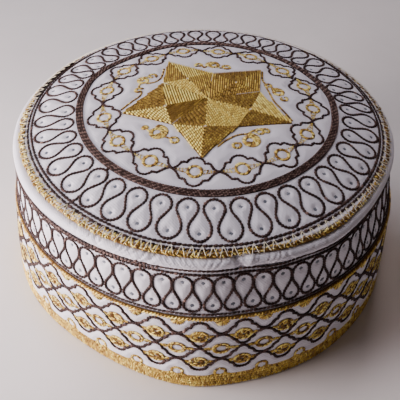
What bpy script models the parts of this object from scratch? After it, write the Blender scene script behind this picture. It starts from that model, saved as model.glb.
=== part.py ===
# A round embroidered prayer cap with a flat domed crown, standing on its hem.
# Sizes are in millimetres here and become metres where the meshes are made.
# +Z is up, the origin is on the floor under the middle of the cap, and -Y is the front.

import math

import bmesh
import bpy

MM = 0.001
GAP = 0.3                  # clearance between pieces that are sewn to each other

# Driving sizes of the whole cap
HEM_RADIUS = 88.0          # outer radius at the foot, a head size of about 56
CORD_RADIUS = 85.4         # outer radius of the wall where its two bands meet
SHOULDER_RADIUS = 82.4     # outer radius of the wall under its rounded top
RIM_RADIUS = 80.5          # radius of the crown's edge
HEM_HEIGHT = 8.1
CORD_HEIGHT = 41.9
SHOULDER_HEIGHT = 63.5
ROLL_HEIGHT = 69.7         # top of the white roll at the head of the wall
CROWN_TOP = 84.3
DOME_DROP = 13.1           # how far the crown falls from its middle to its edge
DOME_POWER = 2.55          # nearly flat in the middle, falling faster to the edge

CLOTH = 2.0                # thickness of the quilted cloth
SEAM_CLOTH = 1.7           # thickness of the cloth that turns in behind the next piece
SEAM_DEPTH = 4.8           # how far it reaches behind that piece
SEAM_SLOPE = 0.8           # how far its free edge leans inwards
HEM_THICKNESS = 3.1
HEM_BULGE = 0.25           # how far the middle of the hem stands out
HEM_ROUND = 0.8            # rounding of the hem's top corners
FOOT_ROUND = 0.4           # rounding beside the flat foot of the hem
CORD_THICKNESS = 0.95      # radius of the gold cord between the bands
CORD_PROUD = 0.35          # how far the middle of the cord stands out of the wall
CORD_SIDES = 6
LIP_DEPTH = 4.2            # how far the roll's lip reaches in under the crown
LIP_CLOTH = 1.5
EDGING_INSET = 2.1         # from the crown's edge in to the inner side of its edging
EDGING_PROUD = 0.7

# Steps around the cap, in degrees
STEP = 5.0
FINE_STEP = 1.25           # in the gathered stretch at the front

# Gathers of the white roll, between two azimuths at the front
GATHER_START = -135.0
GATHER_END = -35.0
GATHER_PITCH = 5.0
GATHER_DEPTH = 0.5

# Crown ring, a thick band of brown stitches
RING_RADIUS = 55.4
RING_WIDTH = 3.6
RING_RISE = 1.0

# Star of gold satin stitch
STAR_CENTRE = (0.3, -0.5)
STAR_EDGE_RISE = 0.6
STAR_RIDGE_RISE = 1.1

# Soft dents and bulges of the wall: where each lies, how wide it spreads, and how
# far it moves the wall out at the hem, at the cord, at the shoulder and at the rim.
# azimuth, half width, hem, cord, shoulder, rim
DENTS = {
    "left_bulge": (178.0, 34.0, 3.2, 1.6, 1.9, 0.8),
    "right_ease": (2.0, 36.0, 0.7, 0.3, 0.0, 0.0),
    "left_shoulder": (-146.0, 16.0, 0.0, 0.0, 0.9, 0.0),
    "left_front_flat": (-125.0, 20.0, -2.3, -0.9, -0.2, -0.2),
    "front_belly": (-92.0, 11.0, 1.4, 0.3, 0.2, 0.1),
    "front_crease": (-78.0, 6.0, 0.0, -0.4, -1.2, -1.2),
    "right_front_swell": (-54.0, 8.0, 0.3, -0.3, 0.8, 0.8),
    "right_shoulder_flat": (-27.0, 16.0, 0.0, 0.0, -1.4, -1.1),
}
DENT_HEIGHTS = (0.0, CORD_HEIGHT, SHOULDER_HEIGHT + 2.0, ROLL_HEIGHT + 1.3)

# Each arm of the star: azimuth and radius of its tip, then of the valley after it
# tip azimuth, tip radius, valley azimuth, valley radius
STAR_ARMS = (
    (-92.1, 38.4, -55.2, 23.1),
    (-18.4, 38.6, 16.6, 24.2),
    (47.7, 36.6, 84.3, 20.4),
    (120.3, 37.4, 154.4, 22.6),
    (193.6, 36.3, 233.9, 22.9),
)

# name: colour, roughness, metallic
MATERIALS = {
    "white_cloth": ((0.74, 0.72, 0.78), 0.85, 0.0),
    "brown_thread": ((0.055, 0.025, 0.02), 0.6, 0.0),
    "gold_thread": ((0.55, 0.36, 0.10), 0.35, 0.6),
}


def clear_scene():
    for item in list(bpy.data.objects):
        bpy.data.objects.remove(item)


def make_material(key, node_name):
    colour, roughness, metallic = MATERIALS[key]
    material = bpy.data.materials.new(node_name + "_" + key)
    material.use_nodes = True
    shader = material.node_tree.nodes["Principled BSDF"]
    shader.inputs["Base Color"].default_value = (*colour, 1.0)
    shader.inputs["Roughness"].default_value = roughness
    shader.inputs["Metallic"].default_value = metallic
    return material


def turn_between(angle, centre):
    """Signed angle from centre to angle, in degrees, the short way round."""
    return (angle - centre + 180.0) % 360.0 - 180.0


def smooth_step(value):
    value = min(max(value, 0.0), 1.0)
    return value * value * (3.0 - 2.0 * value)


def dent_at_height(row, z):
    """A dent's depth at height z, read along its four named heights."""
    depths = row[2:]
    if z <= DENT_HEIGHTS[0]:
        return depths[0]
    for i in range(3):
        low, high = DENT_HEIGHTS[i], DENT_HEIGHTS[i + 1]
        if z <= high:
            part = (z - low) / (high - low)
            return depths[i] + part * (depths[i + 1] - depths[i])
    return depths[3]


def wall_shift(angle, z):
    """How far all the dents together move the wall outwards."""
    total = 0.0
    for row in DENTS.values():
        away = turn_between(angle, row[0]) / row[1]
        total += dent_at_height(row, z) * math.exp(-away * away)
    return total


def gather(angle, z):
    """Ribs of the white roll, strongest half-way up it and in the middle of the front."""
    if not GATHER_START < angle < GATHER_END:
        return 0.0
    rib = 0.5 - 0.5 * math.cos(math.tau * (angle - GATHER_START) / GATHER_PITCH)
    along = smooth_step(min(angle - GATHER_START, GATHER_END - angle) / 25.0)
    up = smooth_step((z - SHOULDER_HEIGHT) / 2.5) * smooth_step((ROLL_HEIGHT + 0.3 - z) / 2.0)
    return GATHER_DEPTH * rib * along * up


def dome_height(radius):
    """Height of the crown's outer face at a distance from its middle."""
    return CROWN_TOP - DOME_DROP * (abs(radius) / RIM_RADIUS) ** DOME_POWER


def even_angles(step):
    count = round(360.0 / step)
    return [-180.0 + i * step for i in range(count)]


def gathered_angles():
    """Even angles, with short steps through the gathered stretch."""
    angles = []
    angle = -180.0
    while angle < 179.9:
        angles.append(angle)
        angle += FINE_STEP if GATHER_START <= angle < GATHER_END - 0.01 else STEP
    return angles


def finish(name, mesh_edit, material_key):
    """Turns an edited mesh into a shaded object of its own material."""
    bmesh.ops.recalc_face_normals(mesh_edit, faces=mesh_edit.faces[:])
    if mesh_edit.calc_volume(signed=True) < 0.0:
        bmesh.ops.reverse_faces(mesh_edit, faces=mesh_edit.faces[:])
    mesh = bpy.data.meshes.new(name)
    mesh_edit.to_mesh(mesh)
    mesh_edit.free()
    mesh.materials.append(make_material(material_key, name))
    mesh.shade_smooth()
    mesh.set_sharp_from_angle(angle=math.radians(35.0))
    item = bpy.data.objects.new(name, mesh)
    bpy.context.scene.collection.objects.link(item)
    return item


def turned(name, section, angles, shift, material_key, closed=True):
    """Spins a section of (radius, height) points round the axis, then lets the dents in.

    A closed section makes a ring. An open one starts and ends on the axis and makes a disc.
    """
    edit = bmesh.new()
    points = [edit.verts.new((r * MM, 0.0, z * MM)) for r, z in section]
    for a, b in zip(points, points[1:]):
        edit.edges.new((a, b))
    if closed:
        edit.edges.new((points[-1], points[0]))
    count = len(angles)
    bmesh.ops.spin(edit, geom=edit.verts[:] + edit.edges[:], cent=(0, 0, 0), axis=(0, 0, 1),
                   angle=math.tau, steps=count, use_merge=True)
    bmesh.ops.remove_doubles(edit, verts=edit.verts[:], dist=MM * 0.001)
    for vert in edit.verts:
        radius = math.hypot(vert.co.x, vert.co.y)
        if radius < MM * 0.01:
            continue
        place = round(math.atan2(vert.co.y, vert.co.x) / math.tau * count) % count
        angle = angles[place]
        z = vert.co.z / MM
        radius = radius / MM + shift(angle, z, radius / MM)
        vert.co.x = radius * math.cos(math.radians(angle)) * MM
        vert.co.y = radius * math.sin(math.radians(angle)) * MM
    return finish(name, edit, material_key)


def shift_wall(angle, z, radius):
    return wall_shift(angle, z)


def shift_roll(angle, z, radius):
    """The wall's dents, and the gathers on its outer side only."""
    outer = radius > SHOULDER_RADIUS - 0.5 * CLOTH
    return wall_shift(angle, z) + (gather(angle, z) if outer else 0.0)


def shift_crown(angle, z, radius):
    """The rim's dents, dying away towards the middle of the crown."""
    return wall_shift(angle, DENT_HEIGHTS[3]) * (radius / RIM_RADIUS) ** 4


def build_hem():
    """The gold hem, a thick ring with a flat foot and rounded edges."""
    outer = HEM_RADIUS
    inner = HEM_RADIUS - HEM_THICKNESS
    top = HEM_HEIGHT
    section = [
        (outer - FOOT_ROUND, 0.0),
        (outer, 2.0 * FOOT_ROUND),
        (outer + HEM_BULGE, 0.5 * top),
        (outer, top - HEM_ROUND),
        (outer - 0.6 * HEM_ROUND, top),
        (inner + 0.6 * HEM_ROUND, top),
        (inner, top - HEM_ROUND),
        (inner, 2.0 * FOOT_ROUND),
        (inner + FOOT_ROUND, 0.0),
    ]
    return turned("hem_binding", section, even_angles(STEP), shift_wall, "gold_thread")


def build_lower_band():
    """The lattice band of the wall, whose top edge turns in behind the band above it."""
    bottom = HEM_HEIGHT + GAP
    top = CORD_HEIGHT - CORD_THICKNESS - GAP
    seam_top = CORD_HEIGHT + SEAM_DEPTH
    seam_radius = CORD_RADIUS - CLOTH - 2.5 * GAP
    # height, outer radius
    wall = (
        (bottom, HEM_RADIUS - GAP),
        (bottom + 0.36 * (top - bottom), HEM_RADIUS - 0.7),
        (bottom + 0.67 * (top - bottom), CORD_RADIUS + 1.3),
        (top, CORD_RADIUS + 0.1),
    )
    outer = [(radius, z) for z, radius in wall]
    turned_in = [
        (seam_radius, top + GAP),
        (seam_radius - SEAM_SLOPE, seam_top),
        (seam_radius - SEAM_SLOPE - SEAM_CLOTH, seam_top),
        (seam_radius - SEAM_CLOTH, top - LIP_CLOTH),
    ]
    inner = [(radius - CLOTH, z) for z, radius in wall[::-1]]
    inner[0] = (wall[3][1] - CLOTH, top - 1.2 * CLOTH)
    return turned("lower_band", outer + turned_in + inner, even_angles(STEP), shift_wall, "white_cloth")


def build_cord():
    """The gold cord over the seam between the two bands."""
    section = []
    for i in range(CORD_SIDES):
        turn = math.tau * i / CORD_SIDES
        radius = CORD_RADIUS + CORD_PROUD + CORD_THICKNESS * math.cos(turn)
        section.append((radius, CORD_HEIGHT + CORD_THICKNESS * math.sin(turn)))
    return turned("band_cord", section, even_angles(STEP), shift_wall, "gold_thread")


def build_upper_band():
    """The looped band of the wall, its white gathered roll and the lip under the crown."""
    bottom = CORD_HEIGHT + CORD_THICKNESS + GAP
    height = SHOULDER_HEIGHT - bottom
    lip_radius = RIM_RADIUS - LIP_DEPTH
    # height, outer radius
    wall = (
        (bottom, CORD_RADIUS - 0.2),
        (bottom + 0.34 * height, CORD_RADIUS - 1.4),
        (bottom + 0.7 * height, SHOULDER_RADIUS + 0.6),
        (SHOULDER_HEIGHT, SHOULDER_RADIUS),
    )
    # height, outer radius
    roll = (
        (SHOULDER_HEIGHT + 2.4, SHOULDER_RADIUS + 0.2),
        (SHOULDER_HEIGHT + 4.4, SHOULDER_RADIUS + 0.1),
        (ROLL_HEIGHT - 0.3, SHOULDER_RADIUS - 0.8),
        (ROLL_HEIGHT, RIM_RADIUS + 0.2),
    )
    outer = [(radius, z) for z, radius in wall + roll]
    lip = [
        (lip_radius, ROLL_HEIGHT),
        (lip_radius, ROLL_HEIGHT - LIP_CLOTH),
        (SHOULDER_RADIUS - CLOTH, ROLL_HEIGHT - CLOTH),
    ]
    inner = [(radius - CLOTH, z) for z, radius in (wall[3], wall[1], wall[0])]
    return turned("upper_band", outer + lip + inner, gathered_angles(), shift_roll, "white_cloth")


def build_crown():
    """The domed panel, whose two faces follow the same curve."""
    edge = RIM_RADIUS - EDGING_INSET
    top = [(edge * part, dome_height(edge * part)) for part in (0.0, 0.2, 0.4, 0.57, 0.72, 0.84, 0.93, 1.0)]
    under = [(edge * part, dome_height(edge * part) - CLOTH) for part in (1.0, 0.84, 0.72, 0.57, 0.4, 0.0)]
    return turned("crown_panel", top + under, even_angles(STEP), shift_crown, "white_cloth", closed=False)


def build_edging():
    """Gold overcast edge of the crown, lapped over the white roll."""
    inner = RIM_RADIUS - EDGING_INSET + GAP
    outer = RIM_RADIUS + EDGING_PROUD
    low = ROLL_HEIGHT + GAP
    crest = RIM_RADIUS - 0.9
    section = [
        (inner, low),
        (outer - 0.5, low),
        (outer, low + 0.6),
        (outer - 0.5, low + 1.3),
        (crest, dome_height(crest) + EDGING_PROUD),
        (inner, dome_height(inner) + 0.4),
    ]
    return turned("crown_edging", section, even_angles(STEP), shift_crown, "gold_thread")


def build_ring():
    """Raised ring of brown stitches that frames the middle of the crown."""
    half = 0.5 * RING_WIDTH
    # part of the half width, part of the rise
    shape = ((-1.0, 0.0), (-0.9, 0.75), (-0.35, 1.0), (0.35, 1.0), (0.9, 0.75), (1.0, 0.0))
    section = []
    for across, up in shape:
        radius = RING_RADIUS + half * across
        section.append((radius, dome_height(radius) + GAP + RING_RISE * up))
    return turned("crown_ring", section[::-1], even_angles(STEP), shift_crown, "brown_thread")


def polar(azimuth, radius):
    turn = math.radians(azimuth)
    return (radius * math.cos(turn), radius * math.sin(turn))


def crossing(a, b, c, d):
    """Where the line from a to b crosses the line from c to d, in plan."""
    ab = (b[0] - a[0], b[1] - a[1])
    cd = (d[0] - c[0], d[1] - c[1])
    ac = (c[0] - a[0], c[1] - a[1])
    part = (ac[0] * cd[1] - ac[1] * cd[0]) / (ab[0] * cd[1] - ab[1] * cd[0])
    return (a[0] + part * ab[0], a[1] + part * ab[1])


def build_star():
    """Five-pointed star of twenty facets, laid over the dome and raised along its ridges."""
    edit = bmesh.new()

    def corner(point, rise):
        return edit.verts.new((point[0] * MM, point[1] * MM, rise * MM))

    tips = [polar(*arm[:2]) for arm in STAR_ARMS]
    valleys = [polar(*arm[2:]) for arm in STAR_ARMS]
    top_middle = corner(STAR_CENTRE, STAR_RIDGE_RISE)
    low_middle = corner(STAR_CENTRE, 0.0)
    top_tips = [corner(p, STAR_EDGE_RISE) for p in tips]
    low_tips = [corner(p, 0.0) for p in tips]
    top_valleys = [corner(p, STAR_EDGE_RISE) for p in valleys]
    low_valleys = [corner(p, 0.0) for p in valleys]
    for i in range(5):
        ridge = crossing(STAR_CENTRE, tips[i], valleys[i - 1], valleys[i])
        top_ridge = corner(ridge, STAR_RIDGE_RISE)
        low_ridge = corner(ridge, 0.0)
        for j in (i - 1, i):
            edit.faces.new((top_middle, top_ridge, top_valleys[j]))
            edit.faces.new((top_ridge, top_tips[i], top_valleys[j]))
            edit.faces.new((low_middle, low_ridge, low_valleys[j]))
            edit.faces.new((low_ridge, low_tips[i], low_valleys[j]))
            edit.faces.new((top_tips[i], top_valleys[j], low_valleys[j], low_tips[i]))
    long_edges = [edge for edge in edit.edges if edge.calc_length() > 3.0 * MM]
    bmesh.ops.subdivide_edges(edit, edges=long_edges, cuts=1, use_grid_fill=True)
    for vert in edit.verts:
        radius = math.hypot(vert.co.x, vert.co.y) / MM
        vert.co.z += (dome_height(radius) + GAP) * MM
    return finish("crown_star", edit, "gold_thread")


clear_scene()
build_hem()
build_lower_band()
build_cord()
build_upper_band()
build_crown()
build_edging()
build_ring()
build_star()
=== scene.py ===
# Looks of a round embroidered prayer cap: cloth, threads, floor, light and camera.
# Sizes are in millimetres here and become metres where the meshes are made.
# The wall is laid out by azimuth in degrees and height; azimuth -90 is the front.

import math

import bpy
import numpy as np
from mathutils import Matrix, Vector
from mathutils.kdtree import KDTree


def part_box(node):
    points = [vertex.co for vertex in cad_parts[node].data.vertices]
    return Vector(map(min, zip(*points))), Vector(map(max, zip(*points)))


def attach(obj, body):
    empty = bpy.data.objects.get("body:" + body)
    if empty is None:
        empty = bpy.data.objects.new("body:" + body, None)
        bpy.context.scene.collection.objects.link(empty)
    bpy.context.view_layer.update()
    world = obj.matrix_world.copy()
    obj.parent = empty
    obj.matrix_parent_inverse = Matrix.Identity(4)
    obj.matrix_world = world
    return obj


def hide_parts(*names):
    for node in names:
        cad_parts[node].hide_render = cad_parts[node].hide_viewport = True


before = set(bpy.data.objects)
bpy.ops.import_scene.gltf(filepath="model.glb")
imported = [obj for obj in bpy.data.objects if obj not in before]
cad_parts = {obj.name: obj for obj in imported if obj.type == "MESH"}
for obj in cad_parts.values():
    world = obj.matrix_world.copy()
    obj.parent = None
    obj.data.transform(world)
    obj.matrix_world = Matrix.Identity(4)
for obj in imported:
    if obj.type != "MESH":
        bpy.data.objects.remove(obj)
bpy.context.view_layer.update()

MM = 0.001
chance = np.random.default_rng(7)

# Camera, solved from the rings of the cap. Its angles are in degrees.
CAMERA_PLACE = (0.13, -251.26, 258.54)
CAMERA_PITCH = 43.01
CAMERA_YAW = -0.44
CAMERA_ROLL = 1.41
CAMERA_LENS = 63.0


def node_top(node):
    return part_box(node)[1].z / MM


def node_foot(node):
    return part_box(node)[0].z / MM


# Sizes of the cap, with the heights read from the solids
RIM_RADIUS = 80.5
RING_RADIUS = 55.4
CLOTH = 2.0
HEM_TOP = node_top("hem_binding")
CORD_HEIGHT = 0.5 * (node_top("band_cord") + node_foot("band_cord"))
CROWN_TOP = node_top("crown_panel")
DOME_DROP = 13.1
DOME_POWER = 2.55

# At the back the crown's shoulder is fuller and its edge hangs lower
BACK_HALF = 25.0
BACK_FADE = 60.0
SWELL_RADIUS = 74.5
SWELL_INNER = 6.5
SWELL_OUTER = 4.0
SWELL_RISE = 0.9
EDGE_HANG = 0.6

# azimuth, how far the brown ring lies out of its circle
RING_DRIFT = (
    (-170, -0.5), (-150, -0.25), (-120, -0.2), (-90, 0.05), (-45, -0.2), (-20, 0.2), (0, 0.5),
    (10, 0.9), (20, 0.3), (30, -0.7), (50, -1.9), (70, -2.3), (90, -2.5), (110, -2.5),
    (130, -2.9), (140, -1.7), (150, 0.2), (160, 0.8), (170, 0.2), (180, -0.2),
)

# Outer profile of the wall, from the foot to the top of the white roll
# height, radius
WALL_PROFILE = (
    (0, 88), (8.4, 87.7), (20.2, 87.3), (30.1, 86.7), (40.6, 85.6), (50.1, 84.1),
    (57.4, 83.1), (63.5, 82.4), (65.9, 82.5), (67.9, 82.4), (69.4, 81.5), (71, 80.5),
)

# Soft dents and bulges of the wall, as the solids have them
# azimuth, half width, hem, cord, shoulder, rim
DENTS = (
    (178, 34, 3.2, 1.6, 1.9, 0.8),
    (2, 36, 0.7, 0.3, 0, 0),
    (-146, 16, 0, 0, 0.9, 0),
    (-125, 20, -2.3, -0.9, -0.2, -0.2),
    (-92, 11, 1.4, 0.3, 0.2, 0.1),
    (-78, 6, 0, -0.4, -1.2, -1.2),
    (-54, 8, 0.3, -0.3, 0.8, 0.8),
    (-27, 16, 0, 0, -1.4, -1.1),
)
DENT_HEIGHTS = (0, 41.9, 65.5, 71)


def smooth_curve(points, step=0.05):
    """Points along the smooth curve through a short table of points, evenly in its parameter."""
    points = np.asarray(points, float)
    padded = np.vstack([2 * points[0] - points[1], points, 2 * points[-1] - points[-2]])
    t = np.arange(0.0, 1.0, step)[:, None]
    runs = []
    for a, b, c, d in zip(padded, padded[1:], padded[2:], padded[3:]):
        runs.append(0.5 * (2 * b + (c - a) * t + (2 * a - 5 * b + 4 * c - d) * t * t
                           + (3 * b - 3 * c + d - a) * t ** 3))
    return np.vstack(runs + [points[-1:]])


WALL_CURVE = smooth_curve(WALL_PROFILE)


def wall_shift(azimuth, z):
    """How far all the dents together move the wall outwards."""
    total = 0.0
    for centre, spread, *depths in DENTS:
        away = ((azimuth - centre + 180.0) % 360.0 - 180.0) / spread
        total = total + np.interp(z, DENT_HEIGHTS, depths) * np.exp(-away * away)
    return total


def rim_shift(azimuth):
    return wall_shift(azimuth, DENT_HEIGHTS[-1])


def columns(*parts):
    """Rows of numbers side by side, as the columns of a table."""
    return np.stack(np.broadcast_arrays(*parts), -1)


def around(azimuth, radius, z):
    """Points at some azimuths, distances from the middle and heights."""
    turn = np.radians(azimuth)
    return columns(radius * np.cos(turn), radius * np.sin(turn), z)


def wall(azimuth, z):
    """Point of the wall's outer face."""
    azimuth, z = np.broadcast_arrays(np.asarray(azimuth, float), np.asarray(z, float))
    return around(azimuth, np.interp(z, WALL_CURVE[:, 0], WALL_CURVE[:, 1]) + wall_shift(azimuth, z), z)


def out_of_round(azimuth, radius, z):
    """Points round the wall's middle that follow its dents."""
    return around(azimuth, radius + wall_shift(azimuth, z), z)


def dome_height(radius):
    return CROWN_TOP - DOME_DROP * (np.abs(radius) / RIM_RADIUS) ** DOME_POWER


def back_lift(azimuth, radius):
    """How far the crown's shoulder stands above its dome at the back, and its edge hangs below it."""
    away = np.abs((azimuth + 90.0) % 360.0 - 180.0)
    share = 0.5 + 0.5 * np.cos(np.pi * np.clip((away - BACK_HALF) / BACK_FADE, 0.0, 1.0))
    width = np.where(radius < SWELL_RADIUS, SWELL_INNER, SWELL_OUTER)
    swell = SWELL_RISE * np.exp(-((radius - SWELL_RADIUS) / width) ** 2)
    hang = EDGE_HANG * np.clip((radius - SWELL_RADIUS) / (RIM_RADIUS - SWELL_RADIUS), 0.0, None) ** 2
    return share * (swell - hang)


# Power by which the wall's dents fade towards the middle of the crown
DENT_FADE = 4


def crown(x, y):
    """Point of the crown's outer face, from its place in plan."""
    x, y = np.broadcast_arrays(np.asarray(x, float), np.asarray(y, float))
    radius = np.hypot(x, y)
    azimuth = np.degrees(np.arctan2(y, x))
    dent = rim_shift(azimuth) * (radius / RIM_RADIUS) ** DENT_FADE
    return columns(x, y, dome_height(radius - dent) + back_lift(azimuth, radius))


def ringed(azimuth, radius):
    """Point of the crown's outer face, from its azimuth and distance from the middle."""
    turn = np.radians(azimuth)
    return crown(radius * np.cos(turn), radius * np.sin(turn))


# Step at which a surface's slope is felt
PROBE = 0.05


def unit(v):
    return v / np.linalg.norm(v, axis=-1, keepdims=True)


def bearing(azimuth):
    """Direction of an azimuth in plan."""
    turn = math.radians(azimuth)
    return np.array([math.cos(turn), math.sin(turn)])


def reaches(points):
    """How far along a row of points each of them lies."""
    return np.concatenate([[0.0], np.cumsum(np.linalg.norm(np.diff(points, axis=0), axis=1))])


def place(surface, u, v):
    """Points of a surface and their outward normals."""
    across = surface(u + PROBE, v) - surface(u - PROBE, v)
    along = surface(u, v + PROBE) - surface(u, v - PROBE)
    normals = unit(np.cross(across, along))
    outward = surface(u, v) if surface is wall else [0, 0, 1]
    return surface(u, v), normals * np.sign(np.sum(normals * outward, -1, keepdims=True))


def add_object(name, data):
    made = bpy.data.objects.new(name, data)
    bpy.context.scene.collection.objects.link(made)
    return made


def make_mesh(name, points, triangles, values, look):
    """A smooth mesh of triangles, with named values at its points. A look is a material and its slot,
    and the slot is not used.
    """
    material, slot = look
    mesh = bpy.data.meshes.new(name)
    mesh.from_pydata((points * MM).tolist(), [], triangles.tolist())
    mesh.validate()
    for key, value in values.items():
        kind, field = ("FLOAT", "value") if value.ndim == 1 else ("FLOAT_VECTOR", "vector")
        data = mesh.attributes.new(key, kind, "POINT").data
        data.foreach_set(field, value.astype(np.float32).ravel())
    mesh.materials.append(material)
    mesh.shade_smooth()
    piece = add_object(name, mesh)
    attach(piece, "root")
    return piece


# Stitches. Each is a row of 13 numbers: its middle, half its length, half its width and
# half its height as vectors, and its tone in the last column.
TONE = 12
SPINDLE_SIDES = 6
SPINDLE_RINGS = (-0.62, 0.62)
# How far before and after a place a path's direction is read
HEADING_REACH = 0.25
# How much the sizes of stitches vary
UNEVEN = 0.08


def spindle():
    """Points and triangles of one stitch, from -1 to 1 along each of its own axes."""
    n = SPINDLE_SIDES
    points = [(-1.0, 0.0, 0.0)]
    for ring in SPINDLE_RINGS:
        for i in range(n):
            turn = math.tau * (i + 0.5) / n
            points.append((ring, math.cos(turn), math.sin(turn)))
    points.append((1.0, 0.0, 0.0))
    faces = []
    for i in range(n):
        a, b = 1 + i, 1 + (i + 1) % n
        faces += [(0, b, a), (a, b, b + n), (a, b + n, a + n), (2 * n + 1, a + n, b + n)]
    return np.array(points), np.array(faces)


def stitch_piece(name, rows, look, end_shade=0.3):
    """One mesh of all the stitches, with their tones and the lie of their fibres. Ends are darker,
    painted shade where a stitch dips between its neighbours.
    """
    points, faces = spindle()
    count = len(points)
    centre, ahead, side, up = (rows[:, None, k:k + 3] for k in (0, 3, 6, 9))
    placed = centre + ahead * points[:, :1] + side * points[:, 1:2] + up * points[:, 2:]
    triangles = faces[None] + count * np.arange(len(rows))[:, None, None]
    length = np.linalg.norm(rows[:, 3:6], axis=1)
    fibre = np.zeros((len(rows), count, 3))
    fibre[..., 0] = points[:, 0] * length[:, None]
    fibre[..., 1] = np.arctan2(points[:, 2], points[:, 1]) / math.tau
    fibre[..., 2] = np.arange(len(rows))[:, None]
    # Painted shade at the ends of each stitch
    shade = np.where(np.abs(points[:, 0]) > 0.9, end_shade, 0.0)
    values = {"tone": (rows[:, TONE:] - shade).ravel(), "fibre": fibre.reshape(-1, 3)}
    make_mesh(name, placed.reshape(-1, 3), triangles.reshape(-1, 3), values, look)


def stitches_at(centres, ahead, normals, length, width, height, tone):
    """Rows of stitches that lie along ahead on their surface."""
    ahead, normals = (np.broadcast_to(v, centres.shape) for v in (ahead, normals))
    ahead = unit(ahead - normals * np.sum(ahead * normals, -1, keepdims=True))
    side = np.cross(normals, ahead)
    details = (length, width, height, tone)
    length, width, height, tone = (np.broadcast_to(v, len(centres))[:, None] for v in details)
    return np.hstack([centres, ahead * length / 2, side * width / 2, normals * height / 2, tone])


def walk(surface, path, pitch, slant):
    """Evenly spaced places along a path on a surface: points, normals, slanting directions, path shares."""
    path = np.asarray(path, float)
    points, normals = place(surface, path[:, 0], path[:, 1])
    reach = reaches(points)
    count = max(1, round(reach[-1] / pitch))
    at = (np.arange(count) + 0.5) * reach[-1] / count

    def read(values, where):
        return columns(*(np.interp(where, reach, column) for column in values.T))

    before, after = np.maximum(at - HEADING_REACH, 0.0), np.minimum(at + HEADING_REACH, reach[-1])
    heading = unit(read(points, after) - read(points, before))
    normals = unit(read(normals, at))
    turn = math.radians(slant)
    ahead = heading * math.cos(turn) + np.cross(normals, heading) * math.sin(turn)
    return read(points, at), normals, ahead, at / reach[-1]


def jitter(size, count=None):
    return size * chance.standard_normal(count)


def uneven(tone, spread, count):
    return np.clip(tone + jitter(spread, count), 0.0, 1.0)


def run_stitch(surface, path, pitch=1.3, length=1.75, width=1.1, height=0.9, lift=0.12, slant=14.0,
               tone=0.5, spread=0.2):
    """Stitches end to end along a path, each a little aslant as in a twisted line."""
    points, normals, ahead, share = walk(surface, path, pitch, slant)
    tones = uneven(tone, spread, len(points))
    sizes = np.array([[length], [width]]) * (1.0 + jitter(UNEVEN, (2, len(points))))
    return stitches_at(points + normals * lift, ahead, normals, *sizes, height, tones)


def satin(surface, path, pitch=0.5, reach=1.2, width=0.5, height=0.5, lift=0.15, slant=90.0,
          tone=0.6, spread=0.25, reach_end=None):
    """Stitches side by side across a path. Their length goes from reach to reach_end."""
    points, normals, ahead, share = walk(surface, path, pitch, slant)
    long = reach if reach_end is None else reach + (reach_end - reach) * share
    tones = uneven(tone, spread, len(points))
    long = long * (1.0 + jitter(UNEVEN, len(points)))
    return stitches_at(points + normals * lift, ahead, normals, long, width * 1.15, height, tones)


# Patterns

# Places in a full turn of a curl
CURL_STEPS = 24


def sewn(pattern):
    """Have a function that yields groups of stitches give them as one table."""
    return lambda *details: np.vstack(list(pattern(*details)))


def looped(outline, tips):
    """A closed line of lobes. The tips are the azimuths of its outer and inner ends in turn."""
    half = smooth_curve(outline)
    rows = []
    for k in range(len(tips) - 1):
        part, here, there = (half[::-1], tips[k + 1], tips[k]) if k % 2 else (half, tips[k], tips[k + 1])
        rows.append(columns(here + (there - here) * part[:, 0], part[:, 1])[:-1])
    return np.vstack(rows + [[(tips[-1], outline[0][1])]])


def circle_path(u, v, radius, start=0.0, end=360.0, step=12.0, stretch=1.0):
    count = max(3, round(abs(end - start) / step))
    turn = np.radians(np.linspace(start, end, count + 1))
    return columns(u + radius * stretch * np.cos(turn), v + radius * np.sin(turn))


def spiral_path(u, v, radius, inner, start, turns):
    """A curl from its outer end, at azimuth start, inwards. Negative turns run clockwise."""
    share = np.linspace(0.0, 1.0, max(8, round(abs(turns) * CURL_STEPS)))
    turn = np.radians(start) + math.tau * turns * share
    reach = radius + (inner - radius) * share
    return columns(u + reach * np.cos(turn), v + reach * np.sin(turn))


# Crown loops: 42 lobes, wider apart at the front, that lean to one side or the other
# Half a lobe, from its outer end to its inner end
# share of the way round to the inner end, distance from the middle
CROWN_LOBE = (
    (0, 74.4), (0.22, 74.2), (0.43, 73.5), (0.62, 72.4), (0.74, 71.1), (0.775, 69.8), (0.74, 68.3),
    (0.63, 66.9), (0.49, 65.6), (0.35, 64.3), (0.24, 63.1), (0.195, 61.9), (0.23, 60.7), (0.35, 59.6),
    (0.54, 58.7), (0.78, 58.15), (1, 58),
)
# Azimuths of the inner ends
CROWN_LOBE_ENDS = (
    -175.8, -167.5, -159.2, -150.8, -141.7, -132.1, -123.7, -114.2, -105, -95.4, -86.2, -76.7, -67.7, -58.2,
    -48.8, -40, -31, -22.1, -13.3, -4.8, 4.2, 11.1, 18.2, 26.7, 35.8, 43.8, 52, 60, 68.2, 76.3, 84.2,
    92.1, 100, 107.9, 115.8, 123.8, 131.7, 139.6, 147.5, 155.4, 163.8, 173.3,
)
# azimuth, degrees that the outer ends lean
CROWN_LEAN = (
    (-170, -2.7), (-160, -2.1), (-150, -1.5), (-138, -1), (-120, -0.4), (-100, -0.2), (-70, -0.2),
    (-44, 0.4), (10, 0.5), (24, 1.5), (57, 1.5), (73, 1), (88, -0.1), (104, -0.9), (120, -1.5),
    (140, -1.8), (151, -0.4), (166, -2), (176, -2.5),
)
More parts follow.
